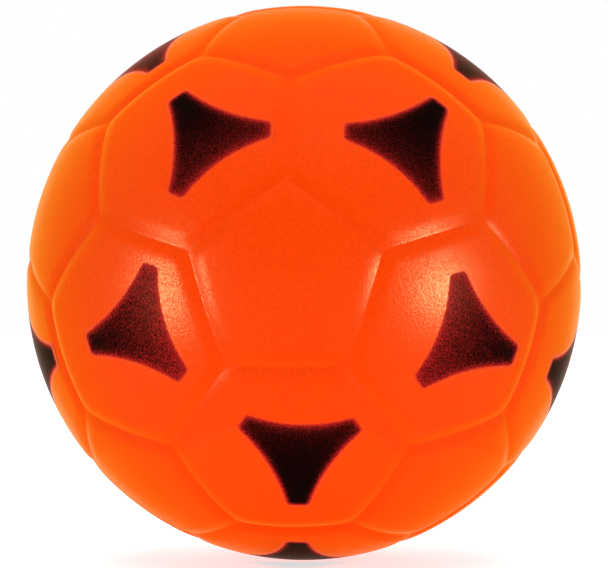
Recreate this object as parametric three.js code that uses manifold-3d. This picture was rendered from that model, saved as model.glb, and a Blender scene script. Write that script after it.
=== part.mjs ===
// A moulded foam football of the size children play with indoors, in millimetres, +Z up.
// The origin is the ball's centre. A pentagon faces the front, -Y, with a corner pointing up.
// A tough skin, moulded with the seams of a 32-panel ball, closes round a solid foam core,
// and a plain three-armed mark is printed on each of the 20 hexagons.
import * as THREE from 'three';
import { mergeVertices } from 'three/addons/utils/BufferGeometryUtils.js';
import Module from 'manifold-3d';

// Ball
const BALL_DIAMETER = 200;

// Seams between the panels: a soft valley with rounded shoulders
const GROOVE_DEPTH = 1.05;
const GROOVE_SHOULDER = 5.6;

// Skin, measured under the bottom of a groove, and the gap that parts it from the core
const SKIN_THICKNESS = 2;
const CORE_CLEARANCE = 0.3;

// Fill gate at the rear, where the foam was poured and its stub was trimmed
const GATE_DIAMETER = 8;
const GATE_CLEARANCE = 0.3;
const GATE_TRIM_DEPTH = 0.6;

// Printed marks: sizes along the ball's surface, from the middle of a mark to the ends of its arms,
// with one arm longer and wider than the other two, and to the middle of its hollow sides
const PRINT_REACH = 22.1;
const PRINT_LONG_REACH = 24.5;
const PRINT_TIP_WIDTH = 5.7;
const PRINT_LONG_TIP_WIDTH = 6.8;
const PRINT_WAIST = 11.2;
const PRINT_THICKNESS = 0.2;
const PRINT_CLEARANCE = 0.3;

// How the print sits on the moulded panels: turned, rolled and tilted about the ball's centre,
// with the marks round the front and rear pentagons drawn in towards them
const PRINT_TURN_DEG = 3.7;
const PRINT_ROLL_DEG = 1.45;
const PRINT_TILT_DEG = -0.6;
const PRINT_DRAW_IN = 3.3;

// Facets
const EDGE_STEPS = 4;
const GROOVE_RINGS = 3;
const CROWN_RINGS = 3;
const SPHERE_DETAIL = 6;
const GATE_SIDES = 24;
const PRINT_SIDE_STEPS = 5;
const PRINT_RINGS = 3;

const ballRadius = BALL_DIAMETER / 2;
const cavityRadius = ballRadius - GROOVE_DEPTH - SKIN_THICKNESS;
const coreRadius = cavityRadius - CORE_CLEARANCE;

const wasm = await Module();
wasm.setup();

const skinMaterial = new THREE.MeshStandardMaterial({ color: 0xfb4a10, roughness: 0.5, metalness: 0 });
const foamMaterial = new THREE.MeshStandardMaterial({ color: 0xf0591f, roughness: 0.95, metalness: 0 });
const inkMaterial = new THREE.MeshStandardMaterial({ color: 0x17100f, roughness: 0.6, metalness: 0 });

// Direction at an angle from the front, turned clockwise from up as seen from the front.
function direction(fromFront, clockwise) {
  return new THREE.Vector3(
    Math.sin(fromFront) * Math.sin(clockwise),
    -Math.cos(fromFront),
    Math.sin(fromFront) * Math.cos(clockwise),
  );
}

// Unit tangent at a point of the unit sphere, pointing along the sphere towards another point.
function heading(from, to) {
  return to.clone().addScaledVector(from, -to.dot(from)).normalize();
}

// Point of the unit sphere reached from a start along a heading.
function travel(from, along, angle) {
  return from.clone().multiplyScalar(Math.cos(angle)).addScaledVector(along, Math.sin(angle));
}

// The 12 pentagons' axes are the corners of an icosahedron with one corner at the front.
function pentagonAxes() {
  const between = Math.atan(2);
  const fifth = (2 * Math.PI) / 5;
  const axes = [direction(0, 0)];
  for (let k = 0; k < 5; k += 1) {
    axes.push(direction(between, k * fifth));
  }
  for (let k = 0; k < 5; k += 1) {
    axes.push(direction(Math.PI - between, (k + 0.5) * fifth));
  }
  axes.push(direction(Math.PI, 0));
  return axes;
}

// Corner shared by two hexagons and a pentagon: a third of the way to the next pentagon.
function corner(near, far) {
  return near.clone().multiplyScalar(2).add(far).normalize();
}

// Corners put in order, anticlockwise as seen from outside, round a panel's axis.
function inOrder(axis, corners) {
  const east = heading(axis, corners[0]);
  const north = axis.clone().cross(east);
  const turn = (c) => Math.atan2(c.dot(north), c.dot(east));
  return [...corners].sort((a, b) => turn(a) - turn(b));
}

const pentagons = pentagonAxes();
const adjoin = (a, b) => a !== b && a.angleTo(b) < Math.PI / 2;

function pentagonPanels() {
  return pentagons.map((axis) => {
    const corners = pentagons.filter((other) => adjoin(axis, other)).map((other) => corner(axis, other));
    return { axis, corners: inOrder(axis, corners) };
  });
}

function hexagonPanels() {
  const panels = [];
  pentagons.forEach((a, i) => {
    pentagons.slice(i + 1).forEach((b, j) => {
      pentagons.slice(i + j + 2).forEach((c) => {
        if (adjoin(a, b) && adjoin(b, c) && adjoin(a, c)) {
          const axis = a.clone().add(b).add(c).normalize();
          const corners = [[a, b], [b, a], [b, c], [c, b], [c, a], [a, c]].map(([p, q]) => corner(p, q));
          panels.push({ axis, neighbours: [a, b, c], corners: inOrder(axis, corners) });
        }
      });
    });
  });
  return panels;
}

// Depth below the ball's surface at a distance from the bottom line of a groove.
function grooveDepth(distance) {
  const rise = Math.max(0, 1 - distance / GROOVE_SHOULDER);
  return GROOVE_DEPTH * rise * rise;
}

// Rows of points from a panel's edge to its middle: each row is the panel's outline drawn in on
// its own plane and thrown out to the ball, so rows run parallel to the seams with mitred corners.
function panelRows({ axis, corners }) {
  const middle = axis.clone().multiplyScalar(corners[0].dot(axis));
  const outline = [];
  corners.forEach((from, i) => {
    const to = corners[(i + 1) % corners.length];
    for (let s = 0; s < EDGE_STEPS; s += 1) {
      outline.push(from.clone().lerp(to, s / EDGE_STEPS));
    }
  });
  const edgeAngle = corners[0].clone().add(corners[1]).angleTo(axis);
  const flank = edgeAngle * ballRadius;
  const insets = [];
  for (let g = 0; g <= GROOVE_RINGS; g += 1) {
    insets.push((GROOVE_SHOULDER * g) / GROOVE_RINGS);
  }
  for (let c = 1; c < CROWN_RINGS; c += 1) {
    insets.push(GROOVE_SHOULDER + ((flank - GROOVE_SHOULDER) * c) / CROWN_RINGS);
  }
  return insets.map((inset) => {
    const share = Math.tan(edgeAngle - inset / ballRadius) / Math.tan(edgeAngle);
    const reach = ballRadius - grooveDepth(inset);
    return outline.map((p) => middle.clone().lerp(p, share).setLength(reach));
  });
}

// Triangles of rows of equal length, each closed on itself, and of the tip that ends them.
function fillRows(rows, tip, triangles) {
  const count = rows[0].length;
  for (let i = 0; i < count; i += 1) {
    const n = (i + 1) % count;
    for (let r = 0; r + 1 < rows.length; r += 1) {
      triangles.push(rows[r][i], rows[r][n], rows[r + 1][n]);
      triangles.push(rows[r][i], rows[r + 1][n], rows[r + 1][i]);
    }
    const last = rows[rows.length - 1];
    triangles.push(last[i], last[n], tip);
  }
}

function geometryOf(triangles) {
  return mergeVertices(new THREE.BufferGeometry().setFromPoints(triangles));
}

function ballGeometry() {
  const triangles = [];
  [...pentagonPanels(), ...hexagonPanels()].forEach((panel) => {
    fillRows(panelRows(panel), panel.axis.clone().setLength(ballRadius), triangles);
  });
  return geometryOf(triangles);
}

function sphereGeometry(radius) {
  const sphere = new THREE.IcosahedronGeometry(radius, SPHERE_DETAIL);
  sphere.deleteAttribute('normal');
  sphere.deleteAttribute('uv');
  return mergeVertices(sphere);
}

// Round bar along +Y from the ball's middle.
function barGeometry(diameter, length) {
  const bar = new THREE.CylinderGeometry(diameter / 2, diameter / 2, length, GATE_SIDES);
  bar.translate(0, length / 2, 0);
  bar.deleteAttribute('normal');
  bar.deleteAttribute('uv');
  return mergeVertices(bar);
}

function solid(geometry) {
  return new wasm.Manifold(new wasm.Mesh({
    numProp: 3,
    vertProperties: new Float32Array(geometry.attributes.position.array),
    triVerts: new Uint32Array(geometry.index.array),
  }));
}

function toGeometry(manifold) {
  const mesh = manifold.getMesh();
  const geometry = new THREE.BufferGeometry();
  geometry.setAttribute('position', new THREE.BufferAttribute(mesh.vertProperties, 3));
  geometry.setIndex(new THREE.BufferAttribute(mesh.triVerts, 1));
  geometry.computeVertexNormals();
  return geometry;
}

// Skin: the panelled ball less the space for the core, open at the fill gate.
function skinGeometry() {
  const cavity = solid(sphereGeometry(cavityRadius));
  const gate = solid(barGeometry(GATE_DIAMETER, BALL_DIAMETER));
  return toGeometry(solid(ballGeometry()).subtract(cavity).subtract(gate));
}

// Core: a ball of foam with the stub of the fill gate, cut off just below the surface.
function coreGeometry() {
  const stub = solid(barGeometry(GATE_DIAMETER - 2 * GATE_CLEARANCE, ballRadius - GATE_TRIM_DEPTH));
  return toGeometry(solid(sphereGeometry(coreRadius)).add(stub));
}

// Outline of a mark laid flat: three arms with square ends, the first one longer, joined by hollow sides.
function markOutline() {
  const third = (2 * Math.PI) / 3;
  const polar = (angle, along, across) => new THREE.Vector2(along, across).rotateAround(new THREE.Vector2(), angle);
  const reaches = [PRINT_LONG_REACH, PRINT_REACH, PRINT_REACH];
  const widths = [PRINT_LONG_TIP_WIDTH, PRINT_TIP_WIDTH, PRINT_TIP_WIDTH];
  const shape = new THREE.Shape();
  for (let k = 0; k < 3; k += 1) {
    const next = (k + 1) % 3;
    const left = polar(k * third, reaches[k], widths[k] / 2);
    const right = polar(next * third, reaches[next], -widths[next] / 2);
    const waist = polar((k + 0.5) * third, PRINT_WAIST, 0);
    const pull = waist.clone().multiplyScalar(2).sub(left.clone().add(right).multiplyScalar(0.5));
    if (k === 0) {
      shape.moveTo(left.x, left.y);
    } else {
      shape.lineTo(left.x, left.y);
    }
    shape.quadraticCurveTo(pull.x, pull.y, right.x, right.y);
  }
  shape.closePath();
  const points = shape.getPoints(PRINT_SIDE_STEPS);
  return points.slice(0, -1);
}

// A mark wrapped on the ball about +Z, with its first arm along +X.
function markGeometry() {
  const outline = markOutline();
  const wrap = (p, share, radius) => {
    const arc = (p.length() * share) / ballRadius;
    const along = new THREE.Vector3(p.x, p.y, 0).normalize();
    return travel(new THREE.Vector3(0, 0, 1), along, arc).multiplyScalar(radius);
  };
  const under = ballRadius + PRINT_CLEARANCE;
  const over = under + PRINT_THICKNESS;
  const shares = Array.from({ length: PRINT_RINGS }, (_, r) => 1 - r / PRINT_RINGS);
  const upper = shares.map((share) => outline.map((p) => wrap(p, share, over)));
  const lower = shares.map((share) => outline.map((p) => wrap(p, share, under)).reverse());
  const rim = outline.map((p) => wrap(p, 1, under));
  const triangles = [];
  fillRows(upper, new THREE.Vector3(0, 0, over), triangles);
  fillRows(lower, new THREE.Vector3(0, 0, under), triangles);
  outline.forEach((_, i) => {
    const n = (i + 1) % outline.length;
    triangles.push(rim[i], rim[n], upper[0][n]);
    triangles.push(rim[i], upper[0][n], upper[0][i]);
  });
  const geometry = geometryOf(triangles);
  geometry.computeVertexNormals();
  return geometry;
}

// Where each mark is printed: on its hexagon's axis, with its long arm pointing away from the front or
// rear pentagon, or towards it from the second row of hexagons.
function markPlaces() {
  const poles = [pentagons[0], pentagons[pentagons.length - 1]];
  return hexagonPanels().map(({ axis, neighbours }) => {
    const pole = poles.find((p) => neighbours.includes(p));
    const away = pole ?? neighbours.find((p) => p.y * axis.y < 0);
    const drawn = pole ? travel(axis, heading(axis, pole), PRINT_DRAW_IN / ballRadius) : axis;
    const side = axis.y < 0 ? 'front' : 'rear';
    return { at: drawn, arm: heading(drawn, away).negate(), row: `${side}_${pole ? 'inner' : 'outer'}` };
  });
}

function printedMarks() {
  const print = new THREE.Group();
  const mark = markGeometry();
  const placed = {};
  markPlaces().forEach(({ at, arm, row }) => {
    placed[row] = (placed[row] ?? 0) + 1;
    const mesh = new THREE.Mesh(mark, inkMaterial);
    mesh.name = `mark_${row}_${placed[row]}`;
    mesh.quaternion.setFromRotationMatrix(new THREE.Matrix4().makeBasis(arm, at.clone().cross(arm), at));
    print.add(mesh);
  });
  print.rotation.set(
    THREE.MathUtils.degToRad(PRINT_TILT_DEG),
    THREE.MathUtils.degToRad(PRINT_ROLL_DEG),
    THREE.MathUtils.degToRad(PRINT_TURN_DEG),
  );
  return print;
}

const skin = new THREE.Mesh(skinGeometry(), skinMaterial);
skin.name = 'moulded_skin';

const core = new THREE.Mesh(coreGeometry(), foamMaterial);
core.name = 'foam_core';

const ball = new THREE.Group();
ball.add(core, skin, printedMarks());

export default ball;
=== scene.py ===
import math

import bpy
from mathutils import Euler, Matrix, Vector


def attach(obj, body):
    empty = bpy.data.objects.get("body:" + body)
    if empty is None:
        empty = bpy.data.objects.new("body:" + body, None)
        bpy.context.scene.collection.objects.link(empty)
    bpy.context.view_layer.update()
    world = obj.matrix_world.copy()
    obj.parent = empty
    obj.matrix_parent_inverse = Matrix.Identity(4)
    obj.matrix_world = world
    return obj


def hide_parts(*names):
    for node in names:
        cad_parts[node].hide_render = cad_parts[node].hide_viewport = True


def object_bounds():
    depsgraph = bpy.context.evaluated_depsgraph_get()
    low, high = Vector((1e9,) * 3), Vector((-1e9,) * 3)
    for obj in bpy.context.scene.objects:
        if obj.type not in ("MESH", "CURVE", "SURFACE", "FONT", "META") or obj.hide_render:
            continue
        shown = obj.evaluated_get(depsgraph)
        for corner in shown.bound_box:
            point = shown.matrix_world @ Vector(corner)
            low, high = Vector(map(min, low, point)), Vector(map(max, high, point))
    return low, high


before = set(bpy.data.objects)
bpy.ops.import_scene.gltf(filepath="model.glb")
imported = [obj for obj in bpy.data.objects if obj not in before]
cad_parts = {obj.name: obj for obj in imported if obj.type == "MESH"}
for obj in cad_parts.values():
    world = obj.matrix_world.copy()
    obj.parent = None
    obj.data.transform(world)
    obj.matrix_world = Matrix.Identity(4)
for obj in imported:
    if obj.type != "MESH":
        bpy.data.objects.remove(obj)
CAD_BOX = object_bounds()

MM = 0.001
FIFTH = 2 * math.pi / 5

# Ball and moulded seams
BALL_RADIUS = 100 * MM
GROOVE_DEPTH = 1.15 * MM
GROOVE_SHOULDER = 6.0 * MM
GROOVE_FILLET = 0.4 * MM

# Skin between the seams, foam core, and the fill gate at the rear with its trimmed and torn stub
SKIN_THICKNESS = 3.05 * MM
CORE_CLEARANCE = 0.3 * MM
GATE_DIAMETER = 8 * MM
GATE_CLEARANCE = 0.3 * MM
GATE_TRIM_DEPTH = 0.6 * MM
STUB_LENGTH = 10 * MM
STUB_ROUGHNESS = 0.35 * MM
TEAR_SIZE = 1.4 * MM
TEAR_LEVEL = 0.75
CAVITY_RADIUS = BALL_RADIUS - SKIN_THICKNESS
CORE_RADIUS = CAVITY_RADIUS - CORE_CLEARANCE
STUB_DIAMETER = GATE_DIAMETER - 2 * GATE_CLEARANCE
STUB_END = BALL_RADIUS - GATE_TRIM_DEPTH

# Printed marks, measured along the ball, and how the print sits on the moulded panels
PRINT_REACH = 22.1 * MM
PRINT_LONG_REACH = 24.5 * MM
PRINT_TIP_WIDTH = 5.7 * MM
PRINT_LONG_TIP_WIDTH = 6.8 * MM
PRINT_WAIST = 11.2 * MM
PRINT_MARGIN = 2.0 * MM
PRINT_LIFT = 0.025 * MM
PRINT_BITE = 0.08 * MM
PRINT_TILT = math.radians(-0.6)
PRINT_ROLL = math.radians(1.45)
PRINT_TURN = math.radians(3.7)
PRINT_DRAW_IN = 3.3 * MM

# How much paint the marks got, clockwise from the upper right round the front pentagon and round
# the edge of the front half, and on the rear half. At the edge the thinner, browner coat is partly
# painted sheen: the lighter look the marks take on where they turn away
SPRAY_IN_FRONT = (0.79, 0.54, 0.92, 0.5, 0.73)
# Marks at the edge: partly a thin coat, partly painted sheen seen at a grazing angle
SPRAY_AND_SHEEN_AT_EDGE = (0.53, 0.76, 0.86, 0.77, 0.36)
SPRAY_AT_REAR = 0.7

# Fineness of the meshes. A margin's ring has its place in the margin and its share of the lift
PANEL_ROWS = 32
ROW_CROWDING = 1.7
SPHERE_SUBDIVISIONS = 5
GATE_SIDES = 64
STUB_SIDE_SEGMENTS = 8
STUB_END_RINGS = 14
TIP_STEPS = 8
SIDE_STEPS = 36
CORNER_ROUNDINGS = 2
MITRE_LIMIT = 0.6
MARGIN_RINGS = ((1.0, -0.8), (0.6, 0.2), (0.25, 0.8))
MARK_RINGS = (1.0, 0.975, 0.945, 0.9, 0.84, 0.76, 0.66, 0.55, 0.44, 0.33, 0.22, 0.11)
CREASE_ANGLE = math.radians(50)
WELD_DISTANCE = 0.03 * MM
END_TOLERANCE = 0.02 * MM

# Patterns of the surfaces. The real grain and spray are too fine to show, so both are drawn coarser
MOTTLE_SIZE = 38 * MM
PIGMENT_SIZE = 1.3 * MM
FOAM_CELL_SIZE = 0.8 * MM
FOAM_CELL_DEPTH = 0.3 * MM
GRAIN_SIZE = 0.75 * MM
GRAIN_DEPTH = 0.08 * MM
DROPLET_SIZE = 0.5 * MM

# Share of the skin's shine that is left as it sinks into a seam: dull slopes, a shinier valley
SEAM_SHINE = ((0.0, 1.0), (0.25, 0.5), (0.6, 0.55), (0.8, 0.9))

# Spray: how far its mist passes the mask's edge, how its coat builds up, and its shades, thin to thick
MIST_REACH = 1.1 * MM
FULL_COVER = 0.1 * MM
DROPLET_DRIFT = 1.2 * MM
COAT_BUILD_UP = 1.25 * MM
COAT_SLANT = 0.48
PAINT_SHADES = (
    (0.0, "#b4201f"),
    (0.25, "#821613"),
    (0.5, "#520d0b"),
    (0.75, "#220404"),
    (0.95, "#0c0202"),
)

# Photograph: 608 x 568 pixels, and the view fitted to the seams and the marks
PHOTO_WIDTH = 608
BALL_PIXELS = 277.1
VIEW_DISTANCE = 1.05
VIEW_AZIMUTH = math.radians(3.76)
VIEW_ELEVATION = math.radians(-0.16)
VIEW_DROP_PIXELS = 1.1
SENSOR = 36
PIXEL = BALL_RADIUS / BALL_PIXELS

# Floor, just under the ball
FLOOR_LEVEL = CAD_BOX[0].z - 0.1 * MM
FLOOR_HALF = 6.0
FLOOR_GLOW = 0.65


def colour(code):
    """Linear RGBA of an sRGB hex value."""
    parts = [int(code[i:i + 2], 16) / 255 for i in (1, 3, 5)]
    return [p / 12.92 if p <= 0.04045 else ((p + 0.055) / 1.055) ** 2.4 for p in parts] + [1.0]


def node(tree, kind, inputs=None, **settings):
    """Adds a node with its settings, and sets or links its inputs by name or number."""
    made = tree.nodes.new(kind)
    for name, value in settings.items():
        setattr(made, name, value)
    for key, value in (inputs or {}).items():
        if isinstance(value, bpy.types.NodeSocket):
            tree.links.new(value, made.inputs[key])
        else:
            made.inputs[key].default_value = value
    return made


# Directions on the ball

def direction(from_front, clockwise):
    """Unit vector at an angle from the front, turned clockwise from up as seen from the front."""
    return Vector((
        math.sin(from_front) * math.sin(clockwise),
        -math.cos(from_front),
        math.sin(from_front) * math.cos(clockwise),
    ))


def heading(start, end):
    """Unit vector along the ball's surface at one direction, towards another."""
    return (end - start * end.dot(start)).normalized()


def turned(axis, along):
    """Rotation that takes +Z to the axis and +X to the heading."""
    return Matrix((along, axis.cross(along), axis)).transposed().to_quaternion()


def pentagon_axes():
    """Middles of the 12 pentagons, from the front one to the rear one."""
    between = math.atan(2)
    near = [direction(between, k * FIFTH) for k in range(5)]
    far = [direction(math.pi - between, (k + 0.5) * FIFTH) for k in range(5)]
    return [direction(0, 0)] + near + far + [direction(math.pi, 0)]


PENTAGONS = pentagon_axes()


def adjoin(a, b):
    """Whether two pentagons are neighbours, with one seam between their nearest corners."""
    return a != b and a.angle(b) < math.pi / 2


def hexagons():
    """Each hexagon's axis with the three pentagons round it."""
    found = []
    for i, a in enumerate(PENTAGONS):
        for j, b in enumerate(PENTAGONS[i + 1:], i + 1):
            for c in PENTAGONS[j + 1:]:
                if adjoin(a, b) and adjoin(b, c) and adjoin(a, c):
                    found.append(((a + b + c).normalized(), (a, b, c)))
    return found


HEXAGONS = hexagons()


def corner(near, far):
    """Corner of a pentagon that points to its neighbour."""
    return (2 * near + far).normalized()


def pentagon_edge(axis):
    """Middle of a seam that closes a pentagon."""
    others = [p for p in PENTAGONS if adjoin(axis, p)]
    first = others[0]
    second = next(p for p in others if adjoin(first, p))
    return (corner(axis, first) + corner(axis, second)).normalized()


# Meshes and trees

def mesh_object(name, vertices, faces):
    mesh = bpy.data.meshes.new(name)
    mesh.from_pydata([tuple(v) for v in vertices], [], faces)
    mesh.update()
    made = bpy.data.objects.new(name, mesh)
    bpy.context.scene.collection.objects.link(made)
    return made


def attribute(made, name, kind, values):
    """Keeps one value for each point of a mesh."""
    layer = made.data.attributes.new(name, kind, "POINT")
    for item, value in zip(layer.data, values):
        item.value = value


def new_tree(name, inputs):
    """Geometry node tree with named inputs, its input sockets and its output socket."""
    tree = bpy.data.node_groups.new(name, "GeometryNodeTree")
    for label, kind in inputs.items():
        tree.interface.new_socket(name=label, in_out="INPUT", socket_type="NodeSocket" + kind)
    tree.interface.new_socket(name="Geometry", in_out="OUTPUT", socket_type="NodeSocketGeometry")
    return tree, node(tree, "NodeGroupInput").outputs, node(tree, "NodeGroupOutput").inputs[0]


def end_tree(tree, mesh, material, out):
    """Smooths a mesh up to its creases, gives it its material and ends the tree."""
    crease = node(tree, "GeometryNodeInputMeshEdgeAngle").outputs[0]
    sharp = node(tree, "FunctionNodeCompare", {0: crease, 1: CREASE_ANGLE},
                 operation="GREATER_THAN").outputs[0]
    smooth = node(tree, "GeometryNodeSetShadeSmooth", {"Geometry": mesh}, domain="FACE").outputs[0]
    edged = node(tree, "GeometryNodeSetShadeSmooth", {
        "Geometry": smooth,
        "Selection": sharp,
        "Shade Smooth": False,
    }, domain="EDGE").outputs[0]
    real = node(tree, "GeometryNodeRealizeInstances", {0: edged}).outputs[0]
    painted = node(tree, "GeometryNodeSetMaterial", {"Geometry": real, "Material": material}).outputs[0]
    tree.links.new(painted, out)


def finish_mesh(made, tree, values):
    """Runs a tree on an object and keeps the result as its plain mesh."""
    modifier = made.modifiers.new(tree.name, "NODES")
    modifier.node_group = tree
    for item in tree.interface.items_tree:
        if item.in_out == "INPUT" and item.name in values:
            modifier[item.identifier] = values[item.name]
    depsgraph = bpy.context.evaluated_depsgraph_get()
    mesh = bpy.data.meshes.new_from_object(made.evaluated_get(depsgraph), depsgraph=depsgraph)
    made.modifiers.remove(modifier)
    made.data = mesh
    mesh.name = made.name
    return made


# Moulded skin: one panel form for the pentagons and one for the hexagons, thrown out to the ball

def panel_form(name, sides):
    """Flat panel of unit size: rows of points parallel to its sides, with the row kept from 0 to 1."""
    vertices = [(0, 0, 0)]
    rows = [0.0]
    rings = [[0]]
    for row in range(1, PANEL_ROWS + 1):
        rings.append([])
        for side in range(sides):
            start = 2 * math.pi * side / sides
            end = 2 * math.pi * (side + 1) / sides
            for step in range(row):
                share = step / row
                x = math.cos(start) * (1 - share) + math.cos(end) * share
                y = math.sin(start) * (1 - share) + math.sin(end) * share
                rings[row].append(len(vertices))
                vertices.append((x * row / PANEL_ROWS, y * row / PANEL_ROWS, 0))
                rows.append(row / PANEL_ROWS)
    faces = []
    for row in range(1, PANEL_ROWS + 1):
        outer = rings[row]
        inner = rings[row - 1]
        for side in range(sides):
            for step in range(row):
                o = side * row + step
                i = side * (row - 1) + step
                here = inner[i % len(inner)]
                faces.append((outer[o], outer[(o + 1) % len(outer)], here))
                if step < row - 1:
                    faces.append((outer[(o + 1) % len(outer)], inner[(i + 1) % len(inner)], here))
    made = mesh_object(name, vertices, faces)
    attribute(made, "row", "FLOAT", rows)
    return made


def panel_tree(sides, axis, edge, tip):
    """Throws a flat panel out to the ball and sinks its edges into the seams.

    Each side sinks the panel by itself, and the seams run together softly at the corners. How far
    a point is sunk, from 0 to 1, is kept for the material."""
    tree, given, out = new_tree("panel with %d sides" % sides, {
        "Geometry": "Geometry",
        "Ball Radius": "Float",
        "Groove Depth": "Float",
        "Groove Shoulder": "Float",
        "Groove Fillet": "Float",
    })
    edge_angle = axis.angle(edge)
    height = axis.dot(tip)
    spread_to_tip = math.sqrt(1 - height ** 2) / math.tan(edge_angle)

    # Rows crowd towards the edge, where the seam needs them
    row = node(tree, "GeometryNodeInputNamedAttribute", {"Name": "row"}, data_type="FLOAT").outputs[0]
    left = node(tree, "ShaderNodeMath", {0: 1.0, 1: row}, operation="SUBTRACT").outputs[0]
    crowded = node(tree, "ShaderNodeMath", {0: left, 1: ROW_CROWDING}, operation="POWER").outputs[0]
    inner = node(tree, "ShaderNodeMath", {0: crowded, 1: -edge_angle, 2: edge_angle},
                 operation="MULTIPLY_ADD").outputs[0]
    inner_tan = node(tree, "ShaderNodeMath", {0: inner}, operation="TANGENT").outputs[0]
    row_safe = node(tree, "ShaderNodeMath", {0: row, 1: 1e-6}, operation="MAXIMUM").outputs[0]
    grow = node(tree, "ShaderNodeMath", {0: inner_tan, 1: row_safe}, operation="DIVIDE").outputs[0]
    reach = node(tree, "ShaderNodeMath", {0: grow, 1: spread_to_tip}, operation="MULTIPLY").outputs[0]
    flat = node(tree, "GeometryNodeInputPosition").outputs[0]
    spread = node(tree, "ShaderNodeVectorMath", {0: flat, "Scale": reach}, operation="SCALE").outputs[0]
    point = node(tree, "ShaderNodeVectorMath", {0: spread, 1: (0, 0, height)}, operation="ADD").outputs[0]
    outward = node(tree, "ShaderNodeVectorMath", {0: point}, operation="NORMALIZE").outputs[0]

    whole = None
    for side in range(sides):
        middle = 2 * math.pi * (side + 0.5) / sides
        inward = (
            -math.cos(middle) * math.cos(edge_angle),
            -math.sin(middle) * math.cos(edge_angle),
            math.sin(edge_angle),
        )
        sine = node(tree, "ShaderNodeVectorMath", {0: outward, 1: inward},
                    operation="DOT_PRODUCT").outputs["Value"]
        gap = node(tree, "ShaderNodeMath", {0: sine, 1: given["Ball Radius"]},
                   operation="MULTIPLY").outputs[0]
        legs = node(tree, "ShaderNodeCombineXYZ", {"X": gap, "Y": given["Groove Fillet"]}).outputs[0]
        rounded = node(tree, "ShaderNodeVectorMath", {0: legs}, operation="LENGTH").outputs["Value"]
        ratio = node(tree, "ShaderNodeMath", {0: rounded, 1: given["Groove Shoulder"]},
                     operation="DIVIDE").outputs[0]
        slope = node(tree, "ShaderNodeMath", {0: 1.0, 1: ratio},
                     operation="SUBTRACT", use_clamp=True).outputs[0]
        valley = node(tree, "ShaderNodeMath", {0: slope, 1: slope}, operation="MULTIPLY").outputs[0]
        kept = node(tree, "ShaderNodeMath", {0: 1.0, 1: valley}, operation="SUBTRACT").outputs[0]
        if whole is None:
            whole = kept
        else:
            whole = node(tree, "ShaderNodeMath", {0: whole, 1: kept}, operation="MULTIPLY").outputs[0]

    sunk = node(tree, "ShaderNodeMath", {0: 1.0, 1: whole}, operation="SUBTRACT").outputs[0]
    depth = node(tree, "ShaderNodeMath", {0: sunk, 1: given["Groove Depth"]},
                 operation="MULTIPLY").outputs[0]
    radius = node(tree, "ShaderNodeMath", {0: given["Ball Radius"], 1: depth},
                  operation="SUBTRACT").outputs[0]
    place = node(tree, "ShaderNodeVectorMath", {0: outward, "Scale": radius}, operation="SCALE").outputs[0]
    marked = node(tree, "GeometryNodeStoreNamedAttribute", {
        "Geometry": given["Geometry"],
        "Name": "sunk",
        "Value": sunk,
    }, data_type="FLOAT", domain="POINT").outputs[0]
    moved = node(tree, "GeometryNodeSetPosition", {"Geometry": marked, "Position": place}).outputs[0]
    tree.links.new(moved, out)
    return tree


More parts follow.
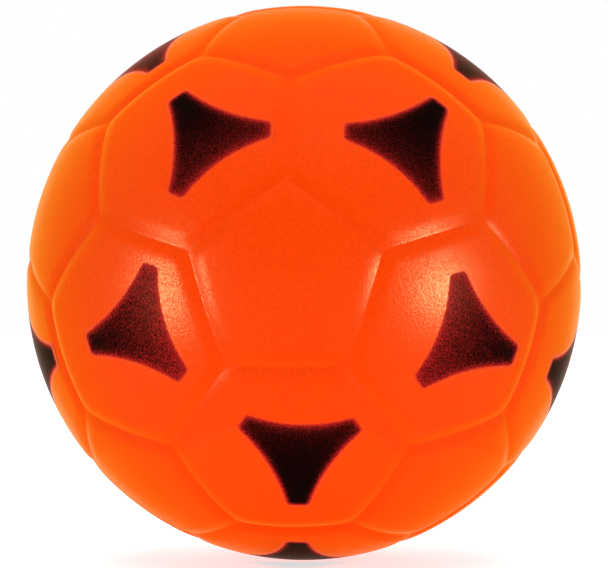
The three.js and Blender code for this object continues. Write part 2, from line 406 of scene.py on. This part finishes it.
def skin_tree():
    """Places the panels round the ball, closes their seams, and takes out the core's space and the gate."""
    tree, given, out = new_tree("panels round the ball", {
        "Geometry": "Geometry",
        "Pentagon Form": "Object",
        "Hexagon Form": "Object",
        "Ball Radius": "Float",
        "Groove Depth": "Float",
        "Groove Shoulder": "Float",
        "Groove Fillet": "Float",
        "Cavity Radius": "Float",
        "Gate Diameter": "Float",
        "Material": "Material",
    })
    front = PENTAGONS[0]
    hexagon, (a, b, _) = HEXAGONS[0]
    hexagon_edge = (corner(a, b) + corner(b, a)).normalized()
    panels = {
        "Pentagon Form": (5, panel_tree(5, front, pentagon_edge(front), corner(front, PENTAGONS[1]))),
        "Hexagon Form": (6, panel_tree(6, hexagon, hexagon_edge, corner(a, b))),
    }
    sides = node(tree, "GeometryNodeInputNamedAttribute", {"Name": "sides"}, data_type="INT").outputs[0]
    turn = node(tree, "GeometryNodeInputNamedAttribute", {"Name": "turn"},
                data_type="QUATERNION").outputs[0]
    joined = node(tree, "GeometryNodeJoinGeometry")
    for label, (count, panel) in panels.items():
        thrown = node(tree, "GeometryNodeGroup", node_tree=panel)
        form = node(tree, "GeometryNodeObjectInfo", {"Object": given[label]}).outputs["Geometry"]
        tree.links.new(form, thrown.inputs["Geometry"])
        for key in ("Ball Radius", "Groove Depth", "Groove Shoulder", "Groove Fillet"):
            tree.links.new(given[key], thrown.inputs[key])
        chosen = node(tree, "FunctionNodeCompare", {2: sides, 3: count},
                      data_type="INT", operation="EQUAL").outputs[0]
        placed = node(tree, "GeometryNodeInstanceOnPoints", {
            "Points": given["Geometry"],
            "Selection": chosen,
            "Instance": thrown.outputs[0],
            "Rotation": turn,
        }).outputs[0]
        tree.links.new(placed, joined.inputs[0])
    real = node(tree, "GeometryNodeRealizeInstances", {0: joined.outputs[0]}).outputs[0]
    ball = node(tree, "GeometryNodeMergeByDistance", {"Geometry": real, "Distance": WELD_DISTANCE}).outputs[0]
    cavity = node(tree, "GeometryNodeMeshIcoSphere", {
        "Radius": given["Cavity Radius"],
        "Subdivisions": SPHERE_SUBDIVISIONS,
    }).outputs[0]
    gate_radius = node(tree, "ShaderNodeMath", {0: given["Gate Diameter"], 1: 0.5},
                       operation="MULTIPLY").outputs[0]
    bar = node(tree, "GeometryNodeMeshCylinder", {
        "Vertices": GATE_SIDES,
        "Radius": gate_radius,
        "Depth": given["Ball Radius"],
    }).outputs["Mesh"]
    back = node(tree, "ShaderNodeCombineXYZ", {"Y": given["Ball Radius"]}).outputs[0]
    gate = node(tree, "GeometryNodeTransform", {
        "Geometry": bar,
        "Translation": back,
        "Rotation": (math.pi / 2, 0, 0),
    }).outputs[0]
    cut = node(tree, "GeometryNodeMeshBoolean", {"Mesh 1": ball}, operation="DIFFERENCE", solver="MANIFOLD")
    tree.links.new(cavity, cut.inputs["Mesh 2"])
    tree.links.new(gate, cut.inputs["Mesh 2"])
    end_tree(tree, cut.outputs[0], given["Material"], out)
    return tree


def moulded_skin(material):
    turns = []
    for axis in PENTAGONS:
        neighbour = next(p for p in PENTAGONS if adjoin(axis, p))
        turns.append(turned(axis, heading(axis, neighbour)))
    for axis, (a, b, _) in HEXAGONS:
        turns.append(turned(axis, heading(axis, corner(a, b))))
    skin = mesh_object("moulded_skin_foam", [(0, 0, 0)] * len(turns), [])
    attribute(skin, "sides", "INT", [5] * len(PENTAGONS) + [6] * len(HEXAGONS))
    attribute(skin, "turn", "QUATERNION", turns)
    pentagon_form = panel_form("pentagon_form", 5)
    hexagon_form = panel_form("hexagon_form", 6)
    finish_mesh(skin, skin_tree(), {
        "Pentagon Form": pentagon_form,
        "Hexagon Form": hexagon_form,
        "Ball Radius": BALL_RADIUS,
        "Groove Depth": GROOVE_DEPTH,
        "Groove Shoulder": GROOVE_SHOULDER,
        "Groove Fillet": GROOVE_FILLET,
        "Cavity Radius": CAVITY_RADIUS,
        "Gate Diameter": GATE_DIAMETER,
        "Material": material,
    })
    for form in (pentagon_form, hexagon_form):
        bpy.data.objects.remove(form)
    return skin


# Printed marks: one flat mark, wrapped on the ball and repeated on the hexagons

def mark_outline():
    """Points round a flat mark, anticlockwise: three arms, the first one longer, joined by hollow sides."""
    short = (PRINT_REACH, PRINT_TIP_WIDTH)
    arms = []
    for arm, (reach, width) in enumerate(((PRINT_LONG_REACH, PRINT_LONG_TIP_WIDTH), short, short)):
        angle = 2 * math.pi * arm / 3
        along = Vector((math.cos(angle), math.sin(angle)))
        across = Vector((-along.y, along.x)) * width / 2
        arms.append((along, along * reach - across, along * reach + across))
    points = []
    for (along, right, left), (after, next_right, _) in zip(arms, arms[1:] + arms[:1]):
        waist = (along + after).normalized() * PRINT_WAIST
        pull = 2 * waist - (left + next_right) / 2
        points += [right.lerp(left, k / TIP_STEPS) for k in range(TIP_STEPS)]
        for k in range(SIDE_STEPS):
            t = k / SIDE_STEPS
            points.append(left * (1 - t) ** 2 + pull * 2 * t * (1 - t) + next_right * t * t)
    for _ in range(CORNER_ROUNDINGS):
        points = [(points[i - 1] + 2 * p + points[(i + 1) % len(points)]) / 4 for i, p in enumerate(points)]
    return points


def inside_distance(point, outline):
    """Least distance from a point inside the outline to the outline."""
    least = 1.0
    for i, start in enumerate(outline):
        side = outline[(i + 1) % len(outline)] - start
        share = max(0.0, min(1.0, (point - start).dot(side) / side.length_squared))
        least = min(least, (point - start - side * share).length)
    return least


def outward_steps(outline):
    """For each point of the outline, the step that moves its sides out by one."""
    steps = []
    for i, point in enumerate(outline):
        before = (point - outline[i - 1]).normalized()
        after = (outline[(i + 1) % len(outline)] - point).normalized()
        normal = Vector((before.y + after.y, -before.x - after.x)).normalized()
        steps.append(normal / max(MITRE_LIMIT, normal.dot(Vector((after.y, -after.x)))))
    return steps


def mark_rings(outline):
    """Rings of points from the margin's edge to the middle: points, depths inside the outline, lift."""
    steps = outward_steps(outline)
    rings = []
    for margin, lift in MARGIN_RINGS:
        points = [p + step * PRINT_MARGIN * margin for p, step in zip(outline, steps)]
        rings.append((points, [-PRINT_MARGIN * margin] * len(outline), lift))
    for share in MARK_RINGS:
        points = [p * share for p in outline]
        rings.append((points, [inside_distance(p, outline) for p in points], 1.0))
    return rings


def mark_form():
    """Closed flat mark in two layers. Its margin dips into the skin and carries the spray's soft edge."""
    outline = mark_outline()
    rings = mark_rings(outline)
    vertices = []
    layer = []
    inside = []
    raised = []
    for level in (1.0, 0.0):
        for points, depths, lift in rings:
            vertices += [(p.x, p.y, 0) for p in points]
            inside += depths
            raised += [lift] * len(points)
        vertices.append((0, 0, 0))
        inside.append(inside_distance(Vector((0, 0)), outline))
        raised.append(1.0)
        layer += [level] * (len(vertices) - len(layer))
    count = len(outline)
    lower = len(vertices) // 2
    last = (len(rings) - 1) * count
    faces = []
    for i in range(count):
        n = (i + 1) % count
        for a in range(0, last, count):
            b = a + count
            faces.append((a + i, a + n, b + n, b + i))
            faces.append((lower + b + i, lower + b + n, lower + a + n, lower + a + i))
        faces.append((last + i, last + n, lower - 1))
        faces.append((lower + last + n, lower + last + i, 2 * lower - 1))
        faces.append((lower + i, lower + n, n, i))
    made = mesh_object("mark_form", vertices, faces)
    attribute(made, "layer", "FLOAT", layer)
    attribute(made, "raised", "FLOAT", raised)
    attribute(made, "inside", "FLOAT", inside)
    attribute(made, "outward", "FLOAT", [v[0] / PRINT_LONG_REACH for v in vertices])
    return made


def marks_tree():
    """Wraps the flat mark on the ball by arc length and repeats it on the hexagons."""
    tree, given, out = new_tree("marks printed on the hexagons", {
        "Geometry": "Geometry",
        "Mark Form": "Object",
        "Ball Radius": "Float",
        "Print Lift": "Float",
        "Print Bite": "Float",
        "Material": "Material",
    })
    form = node(tree, "GeometryNodeObjectInfo", {"Object": given["Mark Form"]}).outputs["Geometry"]
    flat = node(tree, "GeometryNodeInputPosition").outputs[0]
    distance = node(tree, "ShaderNodeVectorMath", {0: flat}, operation="LENGTH").outputs["Value"]
    along = node(tree, "ShaderNodeVectorMath", {0: flat}, operation="NORMALIZE").outputs[0]
    arc = node(tree, "ShaderNodeMath", {0: distance, 1: given["Ball Radius"]}, operation="DIVIDE").outputs[0]
    sine = node(tree, "ShaderNodeMath", {0: arc}, operation="SINE").outputs[0]
    cosine = node(tree, "ShaderNodeMath", {0: arc}, operation="COSINE").outputs[0]
    level = node(tree, "ShaderNodeVectorMath", {0: along, "Scale": sine}, operation="SCALE").outputs[0]
    upright = node(tree, "ShaderNodeCombineXYZ", {"Z": cosine}).outputs[0]
    outward = node(tree, "ShaderNodeVectorMath", {0: level, 1: upright}, operation="ADD").outputs[0]
    layer = node(tree, "GeometryNodeInputNamedAttribute", {"Name": "layer"}, data_type="FLOAT").outputs[0]
    raised = node(tree, "GeometryNodeInputNamedAttribute", {"Name": "raised"}, data_type="FLOAT").outputs[0]
    top = node(tree, "ShaderNodeMath", {
        0: raised,
        1: given["Print Lift"],
        2: given["Ball Radius"],
    }, operation="MULTIPLY_ADD").outputs[0]
    base = node(tree, "ShaderNodeMath", {0: given["Ball Radius"], 1: given["Print Bite"]},
                operation="SUBTRACT").outputs[0]
    radius = node(tree, "ShaderNodeMix", {0: layer, 2: base, 3: top}, data_type="FLOAT").outputs[0]
    place = node(tree, "ShaderNodeVectorMath", {0: outward, "Scale": radius}, operation="SCALE").outputs[0]
    wrapped = node(tree, "GeometryNodeSetPosition", {"Geometry": form, "Position": place}).outputs[0]
    smooth = node(tree, "GeometryNodeSetShadeSmooth", {"Geometry": wrapped}, domain="FACE").outputs[0]
    turn = node(tree, "GeometryNodeInputNamedAttribute", {"Name": "turn"},
                data_type="QUATERNION").outputs[0]
    placed = node(tree, "GeometryNodeInstanceOnPoints", {
        "Points": given["Geometry"],
        "Instance": smooth,
        "Rotation": turn,
    }).outputs[0]
    real = node(tree, "GeometryNodeRealizeInstances", {0: placed}).outputs[0]
    painted = node(tree, "GeometryNodeSetMaterial", {
        "Geometry": real,
        "Material": given["Material"],
    }).outputs[0]
    tree.links.new(painted, out)
    return tree


def mark_place(axis, around):
    """Rotation of a hexagon's mark, its long arm turned away from its pole, and its paint, at the edge partly
    painted sheen.
    """
    pole = next((p for p in around if p in (PENTAGONS[0], PENTAGONS[-1])), None)
    away = pole or next(p for p in around if p.y * axis.y < 0)
    middle = axis
    if pole:
        step = PRINT_DRAW_IN / BALL_RADIUS
        middle = axis * math.cos(step) + heading(axis, pole) * math.sin(step)
    ink = SPRAY_AT_REAR
    if axis.y < 0:
        fifth = round(math.atan2(axis.x, axis.z) / FIFTH - 0.5) % 5
        ink = (SPRAY_IN_FRONT if pole else SPRAY_AND_SHEEN_AT_EDGE)[fifth]
    arm = -heading(middle, away)
    print_turn = Euler((PRINT_TILT, PRINT_ROLL, PRINT_TURN), "ZYX").to_matrix()
    return turned(print_turn @ middle, print_turn @ arm), ink


def printed_marks(material):
    places = [mark_place(axis, around) for axis, around in HEXAGONS]
    marks = mesh_object("printed_marks", [(0, 0, 0)] * len(places), [])
    attribute(marks, "turn", "QUATERNION", [turn for turn, _ in places])
    attribute(marks, "ink", "FLOAT", [ink for _, ink in places])
    form = mark_form()
    finish_mesh(marks, marks_tree(), {
        "Mark Form": form,
        "Ball Radius": BALL_RADIUS,
        "Print Lift": PRINT_LIFT,
        "Print Bite": PRINT_BITE,
        "Material": material,
    })
    bpy.data.objects.remove(form)
    return marks


# Foam core with the cut stub of the fill gate

def core_tree():
    """Foam ball joined to a stub. A noise tears the stub's end: what lies under its level sinks in."""
    tree, given, out = new_tree("foam ball with the stub of its gate", {
        "Geometry": "Geometry",
        "Core Radius": "Float",
        "Stub Diameter": "Float",
        "Stub End": "Float",
        "Stub Roughness": "Float",
        "Material": "Material",
    })
    ball = node(tree, "GeometryNodeMeshIcoSphere", {
        "Radius": given["Core Radius"],
        "Subdivisions": SPHERE_SUBDIVISIONS,
    }).outputs[0]
    radius = node(tree, "ShaderNodeMath", {0: given["Stub Diameter"], 1: 0.5},
                  operation="MULTIPLY").outputs[0]
    bar = node(tree, "GeometryNodeMeshCylinder", {
        "Vertices": GATE_SIDES,
        "Side Segments": STUB_SIDE_SEGMENTS,
        "Fill Segments": STUB_END_RINGS,
        "Radius": radius,
        "Depth": STUB_LENGTH,
    }).outputs["Mesh"]
    middle = node(tree, "ShaderNodeMath", {0: given["Stub End"], 1: STUB_LENGTH / 2},
                  operation="SUBTRACT").outputs[0]
    back = node(tree, "ShaderNodeCombineXYZ", {"Y": middle}).outputs[0]
    laid = node(tree, "GeometryNodeTransform", {
        "Geometry": bar,
        "Translation": back,
        "Rotation": (-math.pi / 2, 0, 0),
    }).outputs[0]
    place = node(tree, "GeometryNodeInputPosition").outputs[0]
    depth = node(tree, "ShaderNodeSeparateXYZ", {0: place}).outputs["Y"]
    end = node(tree, "ShaderNodeMath", {0: given["Stub End"], 1: END_TOLERANCE},
               operation="SUBTRACT").outputs[0]
    at_end = node(tree, "FunctionNodeCompare", {0: depth, 1: end}, operation="GREATER_THAN").outputs[0]
    cells = node(tree, "ShaderNodeTexNoise", {
        "Vector": place, "Scale": 1 / TEAR_SIZE, "Detail": 2.0,
    }).outputs[0]
    tear = node(tree, "ShaderNodeMath", {0: cells, 1: TEAR_LEVEL}, operation="SUBTRACT").outputs[0]
    torn = node(tree, "ShaderNodeMath", {0: tear, 1: given["Stub Roughness"]},
                operation="MULTIPLY").outputs[0]
    offset = node(tree, "ShaderNodeCombineXYZ", {"Y": torn}).outputs[0]
    stub = node(tree, "GeometryNodeSetPosition", {
        "Geometry": laid,
        "Selection": at_end,
        "Offset": offset,
    }).outputs[0]
    joined = node(tree, "GeometryNodeMeshBoolean", operation="UNION", solver="MANIFOLD")
    tree.links.new(ball, joined.inputs["Mesh 2"])
    tree.links.new(stub, joined.inputs["Mesh 2"])
    end_tree(tree, joined.outputs[0], given["Material"], out)
    return tree


def foam_core(material):
    core = mesh_object("foam_core_ball", [(0, 0, 0)], [])
    return finish_mesh(core, core_tree(), {
        "Core Radius": CORE_RADIUS,
        "Stub Diameter": STUB_DIAMETER,
        "Stub End": STUB_END,
        "Stub Roughness": STUB_ROUGHNESS,
        "Material": material,
    })


# Materials

def new_material(name):
    """Material with one shader, its tree and the shader."""
    material = bpy.data.materials.new(name)
    material.use_nodes = True
    tree = material.node_tree
    tree.nodes.clear()
    shader = node(tree, "ShaderNodeBsdfPrincipled")
    node(tree, "ShaderNodeOutputMaterial", {"Surface": shader.outputs[0]})
    return material, tree, shader


def set_stops(ramp, shades):
    """Gives a colour ramp its shades, each with its place from 0 to 1, the first one at 0."""
    stops = ramp.color_ramp.elements
    stops.remove(stops[1])
    for place, shade in shades:
        stop = stops.new(place) if place else stops[0]
        stop.color = shade


def skin_colour(tree, place):
    """Orange of the skin: even, with a faint broad mottle and a fine grain of pigment."""
    broad = node(tree, "ShaderNodeTexNoise", {
        "Vector": place, "Scale": 1 / MOTTLE_SIZE, "Detail": 2.0,
    }).outputs[0]
    mottle = node(tree, "ShaderNodeMix", {0: broad, 6: colour("#fc4104"), 7: colour("#fd4405")},
                  data_type="RGBA", clamp_factor=True).outputs[2]
    fine = node(tree, "ShaderNodeTexNoise", {
        "Vector": place, "Scale": 1 / PIGMENT_SIZE, "Detail": 2.0,
    }).outputs[0]
    pigment = node(tree, "ShaderNodeMapRange", {"Value": fine, "From Min": 0.45, "From Max": 0.85}).outputs[0]
    return node(tree, "ShaderNodeMix", {0: pigment, 6: mottle, 7: colour("#f13b03")},
                data_type="RGBA", clamp_factor=True).outputs[2]


def skin_grain(tree, place, under=None):
    """Pitted grain that the mould leaves on the skin: its height from 0 to 1, and its normal.

    The normal starts from the mesh's own one, or from the one that is given."""
    grain = node(tree, "ShaderNodeTexNoise", {
        "Vector": place, "Scale": 1 / GRAIN_SIZE, "Detail": 3.0,
    }).outputs[0]
    bump = node(tree, "ShaderNodeBump", {"Height": grain, "Strength": 1.0, "Distance": GRAIN_DEPTH})
    if under is not None:
        tree.links.new(under, bump.inputs["Normal"])
    return grain, bump.outputs[0]


def skin_gloss(tree, grain, normal):
    """Satin shine where the skin is met squarely, fading as it turns away, and back at the very rim.

    It is duller in the pits of the grain and on the slopes of the seams."""
    facing = node(tree, "ShaderNodeLayerWeight", {"Normal": normal}).outputs["Facing"]
    square = node(tree, "ShaderNodeMapRange", {
        "Value": facing, "From Min": 0.12, "From Max": 0.5, "To Min": 0.1, "To Max": 0.0,
    }, interpolation_type="SMOOTHSTEP").outputs[0]
    rim = node(tree, "ShaderNodeMapRange", {
        "Value": facing, "From Min": 0.75, "From Max": 1.0, "To Min": 0.0, "To Max": 0.03,
    }, interpolation_type="SMOOTHSTEP").outputs[0]
    pits = node(tree, "ShaderNodeMapRange", {
        "Value": grain, "From Min": 0.38, "From Max": 0.56, "To Min": 0.4, "To Max": 1.15,
    }).outputs[0]
    sunk = node(tree, "ShaderNodeAttribute", attribute_name="sunk").outputs["Fac"]
    seams = node(tree, "ShaderNodeValToRGB", {0: sunk})
    set_stops(seams, [(place, (shine, shine, shine, 1)) for place, shine in SEAM_SHINE])
    worn = node(tree, "ShaderNodeMath", {0: pits, 1: seams.outputs[0]}, operation="MULTIPLY").outputs[0]
    return node(tree, "ShaderNodeMath", {0: square, 1: worn, 2: rim}, operation="MULTIPLY_ADD").outputs[0]


def skin_finish(shader):
    """What the bare skin and the paint on it share: a satin, slightly warm shine and the bloom of foam."""
    shader.inputs["Roughness"].default_value = 0.3
    shader.inputs["IOR"].default_value = 1.5
    shader.inputs["Specular Tint"].default_value = colour("#ffda8e")
    shader.inputs["Sheen Weight"].default_value = 1.0
    shader.inputs["Sheen Roughness"].default_value = 0.42
    shader.inputs["Sheen Tint"].default_value = colour("#ffb533")


def skin_material():
    """Moulded integral-skin polyurethane foam: a satin, faintly pitted orange that looks soft."""
    material, tree, shader = new_material("integral_skin_foam_orange")
    place = node(tree, "ShaderNodeTexCoord").outputs["Object"]
    grain, normal = skin_grain(tree, place)
    tree.links.new(skin_colour(tree, place), shader.inputs["Base Color"])
    tree.links.new(normal, shader.inputs["Normal"])
    tree.links.new(skin_gloss(tree, grain, normal), shader.inputs["Specular IOR Level"])
    skin_finish(shader)
    return material


def spray(tree, place):
    """How far the spray covers the skin, from 0 to 1, and how thick its coat is.

    Its mist passes the mask's edge, and its coat builds up inwards and towards the outer arm. The
    droplets make it uneven, most of all on a mark that got little paint, where the stronger speckle
    is partly a patchy thin coat and partly painted glints of light on the grain."""
    inside = node(tree, "ShaderNodeAttribute", attribute_name="inside").outputs["Fac"]
    outward = node(tree, "ShaderNodeAttribute", attribute_name="outward").outputs["Fac"]
    ink = node(tree, "ShaderNodeAttribute", attribute_name="ink").outputs["Fac"]
    droplets = node(tree, "ShaderNodeTexNoise", {
        "Vector": place, "Scale": 1 / DROPLET_SIZE, "Detail": 2.0,
    }).outputs[0]
    uneven = node(tree, "ShaderNodeMath", {0: droplets, 1: 0.5}, operation="SUBTRACT").outputs[0]
    depth = node(tree, "ShaderNodeMath", {0: uneven, 1: DROPLET_DRIFT, 2: inside},
                 operation="MULTIPLY_ADD").outputs[0]
    cover = node(tree, "ShaderNodeMapRange", {
        "Value": depth, "From Min": -MIST_REACH, "From Max": FULL_COVER,
    }, interpolation_type="SMOOTHSTEP").outputs[0]
    flow = node(tree, "ShaderNodeMath", {0: outward, 1: COAT_SLANT, 2: ink},
                operation="MULTIPLY_ADD").outputs[0]
    decay = node(tree, "ShaderNodeMath", {0: depth, 1: -1 / COAT_BUILD_UP}, operation="MULTIPLY").outputs[0]
    missing = node(tree, "ShaderNodeMath", {0: decay}, operation="EXPONENT").outputs[0]
    built = node(tree, "ShaderNodeMath", {0: 1.0, 1: missing}, operation="SUBTRACT").outputs[0]
    body = node(tree, "ShaderNodeMath", {0: flow, 1: built}, operation="MULTIPLY").outputs[0]
    # Thin marks get a stronger speckle: partly their patchy coat, partly painted glints on the grain
    speckle_and_glints = node(tree, "ShaderNodeMapRange", {
        "Value": ink, "From Min": 0.5, "From Max": 0.75, "To Min": 2.0, "To Max": 1.15,
    }).outputs[0]
    coat = node(tree, "ShaderNodeMath", {0: uneven, 1: speckle_and_glints, 2: body}, operation="MULTIPLY_ADD").outputs[0]
    return cover, coat


def ink_material():
    """Black paint sprayed through a mask: dull and black where it is thick, crimson where it is thin.

    Its mist fades out on the skin, and it takes on a faint haze where it turns away. It shades as
    the round skin does, so that the print's thin margin doesn't show."""
    material, tree, shader = new_material("sprayed_black_paint")
    place = node(tree, "ShaderNodeTexCoord").outputs["Object"]
    cover, coat = spray(tree, place)
    paint = node(tree, "ShaderNodeValToRGB", {0: coat})
    set_stops(paint, [(thickness, colour(code)) for thickness, code in PAINT_SHADES])
    shown = node(tree, "ShaderNodeMix", {0: cover, 6: skin_colour(tree, place), 7: paint.outputs[0]},
                 data_type="RGBA", clamp_factor=True).outputs[2]
    tree.links.new(shown, shader.inputs["Base Color"])
    round_normal = node(tree, "ShaderNodeVectorMath", {0: place}, operation="NORMALIZE").outputs[0]
    grain, normal = skin_grain(tree, place, round_normal)
    tree.links.new(normal, shader.inputs["Normal"])
    skin_finish(shader)
    dull = node(tree, "ShaderNodeMapRange", {
        "Value": cover, "From Min": 0.1, "From Max": 0.75, "To Min": 1.0, "To Max": 0.05,
    }).outputs[0]
    gloss = skin_gloss(tree, grain, normal)
    shine = node(tree, "ShaderNodeMath", {0: gloss, 1: dull}, operation="MULTIPLY").outputs[0]
    tree.links.new(shine, shader.inputs["Specular IOR Level"])
    facing = node(tree, "ShaderNodeLayerWeight", {"Normal": normal}).outputs["Facing"]
    haze = node(tree, "ShaderNodeMapRange", {
        "Value": facing, "From Min": 0.25, "From Max": 0.8, "To Min": 0.03, "To Max": 0.14,
    }).outputs[0]
    bloom = node(tree, "ShaderNodeMapRange", {"Value": cover, "To Min": 1.0, "To Max": haze}).outputs[0]
    tree.links.new(bloom, shader.inputs["Sheen Weight"])
    shader.inputs["Sheen Tint"].default_value = colour("#ffc495")
    return material


def core_material():
    """Cut polyurethane foam: dull orange with open cells, its colour darker in their pits as painted shade.
    """
    material, tree, shader = new_material("cut_polyurethane_foam")
    place = node(tree, "ShaderNodeTexCoord").outputs["Object"]
    cells = node(tree, "ShaderNodeTexVoronoi", {"Vector": place, "Scale": 1 / FOAM_CELL_SIZE},
                 feature="F1").outputs[0]
    # Darker colour towards the bottom of each cell's pit, where the bump sinks: painted shade
    tone_with_pit_shade = node(tree, "ShaderNodeMix", {0: cells, 6: colour("#c23c0c"), 7: colour("#fb5a16")},
                data_type="RGBA", clamp_factor=True).outputs[2]
    tree.links.new(tone_with_pit_shade, shader.inputs["Base Color"])
    bump = node(tree, "ShaderNodeBump", {"Height": cells, "Strength": 0.6, "Distance": FOAM_CELL_DEPTH})
    tree.links.new(bump.outputs[0], shader.inputs["Normal"])
    shader.inputs["Roughness"].default_value = 0.92
    return material


# Pieces on the frame

skin = moulded_skin(skin_material())
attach(skin, "root")
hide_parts("moulded_skin")

core = foam_core(core_material())
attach(core, "root")
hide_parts("foam_core")

marks = printed_marks(ink_material())
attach(marks, "root")
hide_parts(*[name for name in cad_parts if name.startswith("mark_")])


# Studio: white floor and surroundings, soft boxes that the ball mirrors, and fills that light it

def background_rays(tree):
    """1 for the rays that show the background: straight, mirrored or through glass."""
    path = node(tree, "ShaderNodeLightPath").outputs
    shown = node(tree, "ShaderNodeMath", {0: path["Is Camera Ray"], 1: path["Is Glossy Ray"]},
                 operation="ADD").outputs[0]
    return node(tree, "ShaderNodeMath", {0: shown, 1: path["Is Transmission Ray"]},
                operation="ADD").outputs[0]


def floor_material():
    """Matt white table that keeps the ball's shadow, with enough glow to look white itself."""
    material = bpy.data.materials.new("studio_floor")
    material.use_nodes = True
    tree = material.node_tree
    tree.nodes.clear()
    matt = node(tree, "ShaderNodeBsdfDiffuse", {"Color": colour("#ededed")}).outputs[0]
    glow = node(tree, "ShaderNodeMath", {0: background_rays(tree), 1: FLOOR_GLOW},
                operation="MULTIPLY").outputs[0]
    white = node(tree, "ShaderNodeEmission", {"Strength": glow}).outputs[0]
    both = node(tree, "ShaderNodeAddShader", {0: matt, 1: white}).outputs[0]
    node(tree, "ShaderNodeOutputMaterial", {"Surface": both})
    return material


def studio_floor():
    """Floor that lets the lamp under it through, as a lit table does."""
    floor = mesh_object("studio_floor", [
        (-FLOOR_HALF, -FLOOR_HALF, FLOOR_LEVEL),
        (FLOOR_HALF, -FLOOR_HALF, FLOOR_LEVEL),
        (FLOOR_HALF, FLOOR_HALF, FLOOR_LEVEL),
        (-FLOOR_HALF, FLOOR_HALF, FLOOR_LEVEL),
    ], [(0, 1, 2, 3)])
    floor.data.materials.append(floor_material())
    floor.visible_shadow = False


def white_surroundings():
    """White backdrop, whose light fades towards a dim room on the front side."""
    world = bpy.data.worlds.new("white_surroundings")
    bpy.context.scene.world = world
    world.use_nodes = True
    tree = world.node_tree
    tree.nodes.clear()
    way = node(tree, "ShaderNodeTexCoord").outputs["Generated"]
    depth = node(tree, "ShaderNodeSeparateXYZ", {0: way}).outputs["Y"]
    light = node(tree, "ShaderNodeMapRange", {
        "Value": depth, "From Min": -1.0, "From Max": 0.75, "To Min": 0.05, "To Max": 1.0,
    }, interpolation_type="SMOOTHSTEP").outputs[0]
    white = node(tree, "ShaderNodeMath", {0: light, 1: background_rays(tree)}, operation="MAXIMUM").outputs[0]
    back = node(tree, "ShaderNodeBackground", {"Color": colour("#ffffff"), "Strength": white}).outputs[0]
    node(tree, "ShaderNodeOutputWorld", {"Surface": back})


def soft_box(name, azimuth, height, distance, size, power, mirrored):
    """Area lamp that faces the ball, with its azimuth in degrees from the front to the right.

    It either shows as a mirror image in the ball or lights it, so that each can be set by itself."""
    data = bpy.data.lights.new(name, "AREA")
    data.shape = "RECTANGLE"
    data.size = size[0]
    data.size_y = size[1]
    data.energy = power
    lamp = bpy.data.objects.new(name, data)
    bpy.context.scene.collection.objects.link(lamp)
    angle = math.radians(azimuth)
    lamp.location = (distance * math.sin(angle), -distance * math.cos(angle), height)
    lamp.rotation_euler = (-lamp.location).to_track_quat("-Z", "Y").to_euler()
    lamp.visible_camera = False
    lamp.visible_diffuse = not mirrored
    lamp.visible_glossy = mirrored


def photo_camera():
    """Camera at the photograph's angle, at the distance and with the lens that frame the ball as it does."""
    data = bpy.data.cameras.new("photo_camera")
    data.sensor_width = SENSOR
    distance_in_radii = VIEW_DISTANCE / BALL_RADIUS
    focal_pixels = BALL_PIXELS * math.sqrt(distance_in_radii ** 2 - 1)
    data.lens = focal_pixels * SENSOR / PHOTO_WIDTH
    camera = bpy.data.objects.new("photo_camera", data)
    bpy.context.scene.collection.objects.link(camera)
    level = VIEW_DISTANCE * math.cos(VIEW_ELEVATION)
    camera.location = (
        level * math.sin(VIEW_AZIMUTH),
        -level * math.cos(VIEW_AZIMUTH),
        VIEW_DISTANCE * math.sin(VIEW_ELEVATION),
    )
    target = Vector((0, 0, -VIEW_DROP_PIXELS * PIXEL))
    camera.rotation_euler = (target - camera.location).to_track_quat("-Z", "Y").to_euler()
    bpy.context.scene.camera = camera


studio_floor()
white_surroundings()
soft_box("soft_box_left", azimuth=-51, height=-0.03, distance=0.6,
         size=(0.12, 0.22), power=9.9, mirrored=True)
soft_box("soft_box_right", azimuth=57, height=-0.022, distance=0.6,
         size=(0.13, 0.14), power=10.4, mirrored=True)
soft_box("fill_above", azimuth=0, height=1.2, distance=0.3,
         size=(1.4, 1.2), power=12.0, mirrored=False)
soft_box("fill_in_front", azimuth=4, height=0.0, distance=1.0,
         size=(2.4, 0.18), power=3.4, mirrored=False)
soft_box("fill_under_table", azimuth=0, height=-1.2, distance=0.3,
         size=(1.4, 1.2), power=15.5, mirrored=False)
photo_camera()
bpy.context.scene.view_settings.view_transform = "Standard"
